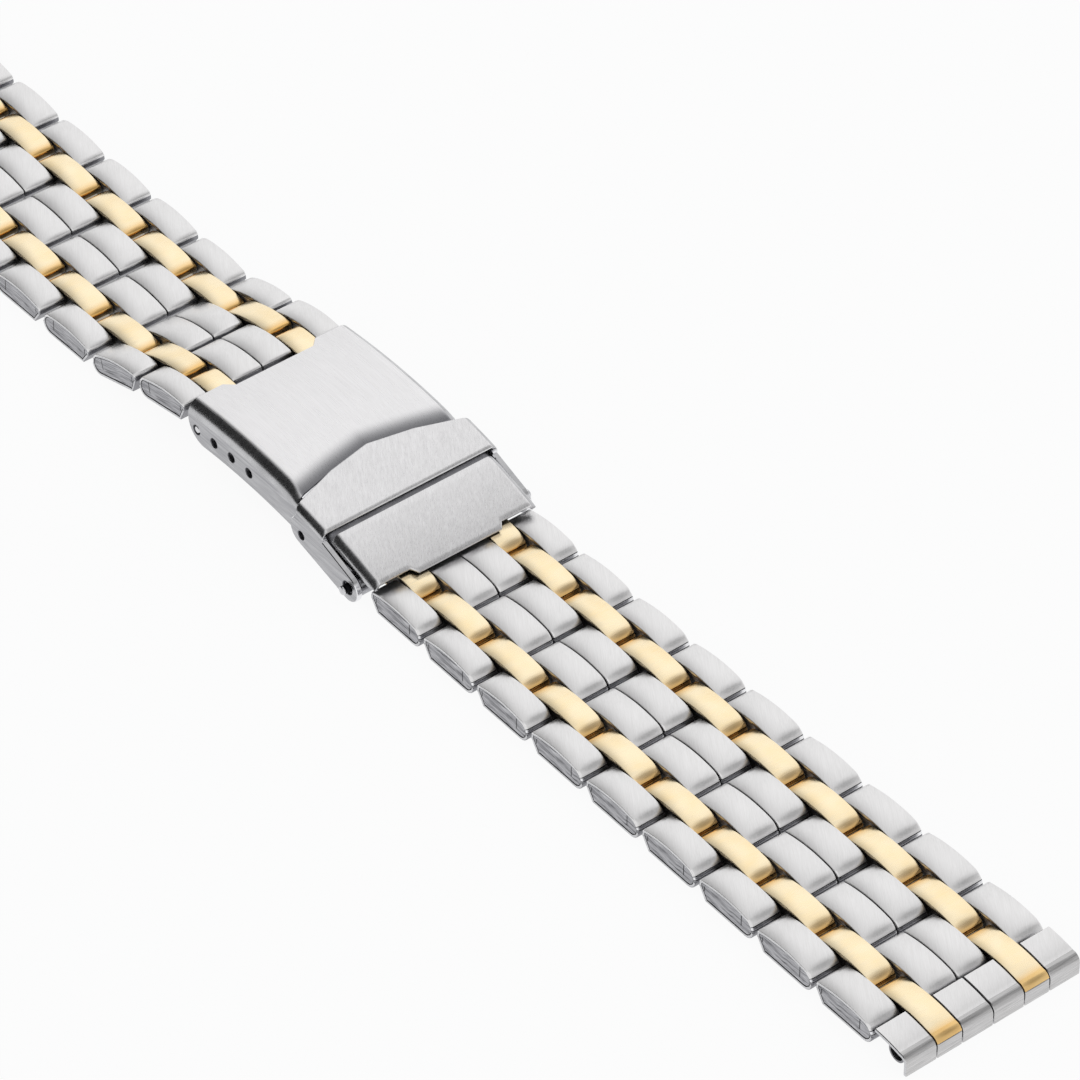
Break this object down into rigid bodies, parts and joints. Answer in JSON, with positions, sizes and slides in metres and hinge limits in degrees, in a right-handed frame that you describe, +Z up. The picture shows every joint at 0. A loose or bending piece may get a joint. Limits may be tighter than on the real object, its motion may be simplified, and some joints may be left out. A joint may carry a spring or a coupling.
{
  "type": "watch bracelet",
  "caption": "Two-tone metal watch bracelet of folded links in five columns, with an arched fold-over clasp and a V-edged safety flap, laid out straight.",
  "frame": {"origin": "centre of the bracelet's length and width, on the surface it lies on", "axes": "+X along the bracelet from the adjusting-bar half towards the half held by the clasp's blades, +Y across it, +Z up"},
  "size_m": [0.1806, 0.0222, 0.007],
  "materials": {
    "brushed_steel": "brushed along the links",
    "gold_plate": "polished yellow gold plating",
    "turned_steel": "turned and polished"
  },
  "bodies": {
    "cover": {"clasp_cover": "brushed_steel", "snap_studs": "turned_steel", "cover_hinge_pin": "turned_steel", "adjust_bar_tube": "turned_steel", "adjust_bar_tips": "turned_steel", "adjust_bar_spring": "turned_steel"},
    "middle_blade": {"middle_blade": "brushed_steel"},
    "lower_blade": {"lower_blade": "brushed_steel", "blade_hinge_pin": "turned_steel", "end_bar_tube": "turned_steel", "end_bar_tips": "turned_steel", "end_bar_spring": "turned_steel"},
    "safety_flap": {"safety_flap": "brushed_steel"},
    "gold_right_0": {"gold_row_right_0": "gold_plate"},
    "steel_right_1": {"steel_row_right_1": "brushed_steel"},
    "gold_right_1": {"gold_row_right_1": "gold_plate"},
    "steel_right_2": {"steel_row_right_2": "brushed_steel"},
    "gold_right_2": {"gold_row_right_2": "gold_plate"},
    "steel_right_3": {"steel_row_right_3": "brushed_steel"},
    "gold_right_3": {"gold_row_right_3": "gold_plate"},
    "steel_right_4": {"steel_row_right_4": "brushed_steel"},
    "gold_right_4": {"gold_row_right_4": "gold_plate"},
    "steel_right_5": {"steel_row_right_5": "brushed_steel"},
    "gold_right_5": {"gold_row_right_5": "gold_plate"},
    "steel_right_6": {"steel_row_right_6": "brushed_steel"},
    "gold_right_6": {"gold_row_right_6": "gold_plate"},
    "steel_right_7": {"steel_row_right_7": "brushed_steel"},
    "gold_right_7": {"gold_row_right_7": "gold_plate"},
    "steel_right_8": {"steel_row_right_8": "brushed_steel"},
    "gold_right_8": {"gold_row_right_8": "gold_plate"},
    "steel_right_9": {"steel_row_right_9": "brushed_steel"},
    "end_piece_right": {"end_sheet_right": "brushed_steel", "end_caps_right": "gold_plate"},
    "gold_left_0": {"gold_row_left_0": "gold_plate"},
    "steel_left_1": {"steel_row_left_1": "brushed_steel"},
    "gold_left_1": {"gold_row_left_1": "gold_plate"},
    "steel_left_2": {"steel_row_left_2": "brushed_steel"},
    "gold_left_2": {"gold_row_left_2": "gold_plate"},
    "steel_left_3": {"steel_row_left_3": "brushed_steel"},
    "gold_left_3": {"gold_row_left_3": "gold_plate"},
    "steel_left_4": {"steel_row_left_4": "brushed_steel"},
    "gold_left_4": {"gold_row_left_4": "gold_plate"},
    "steel_left_5": {"steel_row_left_5": "brushed_steel"},
    "gold_left_5": {"gold_row_left_5": "gold_plate"},
    "steel_left_6": {"steel_row_left_6": "brushed_steel"},
    "gold_left_6": {"gold_row_left_6": "gold_plate"},
    "steel_left_7": {"steel_row_left_7": "brushed_steel"},
    "gold_left_7": {"gold_row_left_7": "gold_plate"},
    "steel_left_8": {"steel_row_left_8": "brushed_steel"},
    "gold_left_8": {"gold_row_left_8": "gold_plate"},
    "steel_left_9": {"steel_row_left_9": "brushed_steel"},
    "end_piece_left": {"end_sheet_left": "brushed_steel", "end_caps_left": "gold_plate"}
  },
  "joints": [
    {"name": "clasp_open", "type": "hinge", "parent": "cover", "child": "middle_blade", "pos_m": [0.00788, 0, 0.00338], "axis": [0, -1, 0], "range_deg": [0, 55]},
    {"name": "blade_unfold", "type": "hinge", "parent": "middle_blade", "child": "lower_blade", "pos_m": [-0.01032, 0, 0.00129], "axis": [0, 1, 0], "range_deg": [0, 18.38]},
    {"name": "flap_lift", "type": "hinge", "parent": "lower_blade", "child": "safety_flap", "pos_m": [0.01203, 0, 0.00154], "axis": [0, 1, 0], "range_deg": [0, 110]},
    {"name": "right_hinge_1", "type": "hinge", "parent": "lower_blade", "child": "gold_right_0", "pos_m": [0.01203, 0, 0.00154], "axis": [0, 1, 0], "range_deg": [-2.5, 15]},
    {"name": "right_hinge_2", "type": "hinge", "parent": "gold_right_0", "child": "steel_right_1", "pos_m": [0.01602, 0, 0.00132], "axis": [0, 1, 0], "range_deg": [-8.78, 18.22]},
    {"name": "right_hinge_3", "type": "hinge", "parent": "steel_right_1", "child": "gold_right_1", "pos_m": [0.02002, 0, 0.00132], "axis": [0, 1, 0], "range_deg": [-13, 15]},
    {"name": "right_hinge_4", "type": "hinge", "parent": "gold_right_1", "child": "steel_right_2", "pos_m": [0.02402, 0, 0.00132], "axis": [0, 1, 0], "range_deg": [-13, 15]},
    {"name": "right_hinge_5", "type": "hinge", "parent": "steel_right_2", "child": "gold_right_2", "pos_m": [0.02802, 0, 0.00132], "axis": [0, 1, 0], "range_deg": [-13, 15]},
    {"name": "right_hinge_6", "type": "hinge", "parent": "gold_right_2", "child": "steel_right_3", "pos_m": [0.03202, 0, 0.00132], "axis": [0, 1, 0], "range_deg": [-13, 15]},
    {"name": "right_hinge_7", "type": "hinge", "parent": "steel_right_3", "child": "gold_right_3", "pos_m": [0.03602, 0, 0.00132], "axis": [0, 1, 0], "range_deg": [-13, 15]},
    {"name": "right_hinge_8", "type": "hinge", "parent": "gold_right_3", "child": "steel_right_4", "pos_m": [0.04002, 0, 0.00132], "axis": [0, 1, 0], "range_deg": [-13, 15]},
    {"name": "right_hinge_9", "type": "hinge", "parent": "steel_right_4", "child": "gold_right_4", "pos_m": [0.04402, 0, 0.00132], "axis": [0, 1, 0], "range_deg": [-13, 15]},
    {"name": "right_hinge_10", "type": "hinge", "parent": "gold_right_4", "child": "steel_right_5", "pos_m": [0.04802, 0, 0.00132], "axis": [0, 1, 0], "range_deg": [-13, 15]},
    {"name": "right_hinge_11", "type": "hinge", "parent": "steel_right_5", "child": "gold_right_5", "pos_m": [0.05202, 0, 0.00132], "axis": [0, 1, 0], "range_deg": [-13, 15]},
    {"name": "right_hinge_12", "type": "hinge", "parent": "gold_right_5", "child": "steel_right_6", "pos_m": [0.05602, 0, 0.00132], "axis": [0, 1, 0], "range_deg": [-13, 15]},
    {"name": "right_hinge_13", "type": "hinge", "parent": "steel_right_6", "child": "gold_right_6", "pos_m": [0.06002, 0, 0.00132], "axis": [0, 1, 0], "range_deg": [-13, 15]},
    {"name": "right_hinge_14", "type": "hinge", "parent": "gold_right_6", "child": "steel_right_7", "pos_m": [0.06402, 0, 0.00132], "axis": [0, 1, 0], "range_deg": [-13, 15]},
    {"name": "right_hinge_15", "type": "hinge", "parent": "steel_right_7", "child": "gold_right_7", "pos_m": [0.06802, 0, 0.00132], "axis": [0, 1, 0], "range_deg": [-13, 15]},
    {"name": "right_hinge_16", "type": "hinge", "parent": "gold_right_7", "child": "steel_right_8", "pos_m": [0.07202, 0, 0.00132], "axis": [0, 1, 0], "range_deg": [-13, 15]},
    {"name": "right_hinge_17", "type": "hinge", "parent": "steel_right_8", "child": "gold_right_8", "pos_m": [0.07602, 0, 0.00132], "axis": [0, 1, 0], "range_deg": [-13, 15]},
    {"name": "right_hinge_18", "type": "hinge", "parent": "gold_right_8", "child": "steel_right_9", "pos_m": [0.08002, 0, 0.00132], "axis": [0, 1, 0], "range_deg": [-13, 15]},
    {"name": "right_hinge_19", "type": "hinge", "parent": "steel_right_9", "child": "end_piece_right", "pos_m": [0.08402, 0, 0.00132], "axis": [0, 1, 0], "range_deg": [-13, 15]},
    {"name": "left_hinge_1", "type": "hinge", "parent": "cover", "child": "gold_left_0", "pos_m": [-0.01237, 0, 0.00406], "axis": [0, 1, 0], "range_deg": [-12, 6]},
    {"name": "left_hinge_2", "type": "hinge", "parent": "gold_left_0", "child": "steel_left_1", "pos_m": [-0.01636, 0, 0.00434], "axis": [0, 1, 0], "range_deg": [-1.5, 26.5]},
    {"name": "left_hinge_3", "type": "hinge", "parent": "steel_left_1", "child": "gold_left_1", "pos_m": [-0.02031, 0, 0.00368], "axis": [0, 1, 0], "range_deg": [-10, 18]},
    {"name": "left_hinge_4", "type": "hinge", "parent": "gold_left_1", "child": "steel_left_2", "pos_m": [-0.02418, 0, 0.00267], "axis": [0, 1, 0], "range_deg": [-14, 14]},
    {"name": "left_hinge_5", "type": "hinge", "parent": "steel_left_2", "child": "gold_left_2", "pos_m": [-0.02803, 0, 0.00161], "axis": [0, 1, 0], "range_deg": [-26.38, 1.62]},
    {"name": "left_hinge_6", "type": "hinge", "parent": "gold_left_2", "child": "steel_left_3", "pos_m": [-0.03202, 0, 0.00132], "axis": [0, 1, 0], "range_deg": [-19.12, 8.88]},
    {"name": "left_hinge_7", "type": "hinge", "parent": "steel_left_3", "child": "gold_left_3", "pos_m": [-0.03602, 0, 0.00132], "axis": [0, 1, 0], "range_deg": [-15, 13]},
    {"name": "left_hinge_8", "type": "hinge", "parent": "gold_left_3", "child": "steel_left_4", "pos_m": [-0.04002, 0, 0.00132], "axis": [0, 1, 0], "range_deg": [-15, 13]},
    {"name": "left_hinge_9", "type": "hinge", "parent": "steel_left_4", "child": "gold_left_4", "pos_m": [-0.04402, 0, 0.00132], "axis": [0, 1, 0], "range_deg": [-15, 13]},
    {"name": "left_hinge_10", "type": "hinge", "parent": "gold_left_4", "child": "steel_left_5", "pos_m": [-0.04802, 0, 0.00132], "axis": [0, 1, 0], "range_deg": [-15, 13]},
    {"name": "left_hinge_11", "type": "hinge", "parent": "steel_left_5", "child": "gold_left_5", "pos_m": [-0.05202, 0, 0.00132], "axis": [0, 1, 0], "range_deg": [-15, 13]},
    {"name": "left_hinge_12", "type": "hinge", "parent": "gold_left_5", "child": "steel_left_6", "pos_m": [-0.05602, 0, 0.00132], "axis": [0, 1, 0], "range_deg": [-15, 13]},
    {"name": "left_hinge_13", "type": "hinge", "parent": "steel_left_6", "child": "gold_left_6", "pos_m": [-0.06002, 0, 0.00132], "axis": [0, 1, 0], "range_deg": [-15, 13]},
    {"name": "left_hinge_14", "type": "hinge", "parent": "gold_left_6", "child": "steel_left_7", "pos_m": [-0.06402, 0, 0.00132], "axis": [0, 1, 0], "range_deg": [-15, 13]},
    {"name": "left_hinge_15", "type": "hinge", "parent": "steel_left_7", "child": "gold_left_7", "pos_m": [-0.06802, 0, 0.00132], "axis": [0, 1, 0], "range_deg": [-15, 13]},
    {"name": "left_hinge_16", "type": "hinge", "parent": "gold_left_7", "child": "steel_left_8", "pos_m": [-0.07202, 0, 0.00132], "axis": [0, 1, 0], "range_deg": [-15, 13]},
    {"name": "left_hinge_17", "type": "hinge", "parent": "steel_left_8", "child": "gold_left_8", "pos_m": [-0.07602, 0, 0.00132], "axis": [0, 1, 0], "range_deg": [-15, 13]},
    {"name": "left_hinge_18", "type": "hinge", "parent": "gold_left_8", "child": "steel_left_9", "pos_m": [-0.08002, 0, 0.00132], "axis": [0, 1, 0], "range_deg": [-15, 13]},
    {"name": "left_hinge_19", "type": "hinge", "parent": "steel_left_9", "child": "end_piece_left", "pos_m": [-0.08402, 0, 0.00132], "axis": [0, 1, 0], "range_deg": [-15, 13]}
  ],
  "couplings": [
    {"joint": "blade_unfold", "follows": "clasp_open", "ratio": 0.33333},
    {"joint": "flap_lift", "follows": "clasp_open", "ratio": 2}
  ]
}
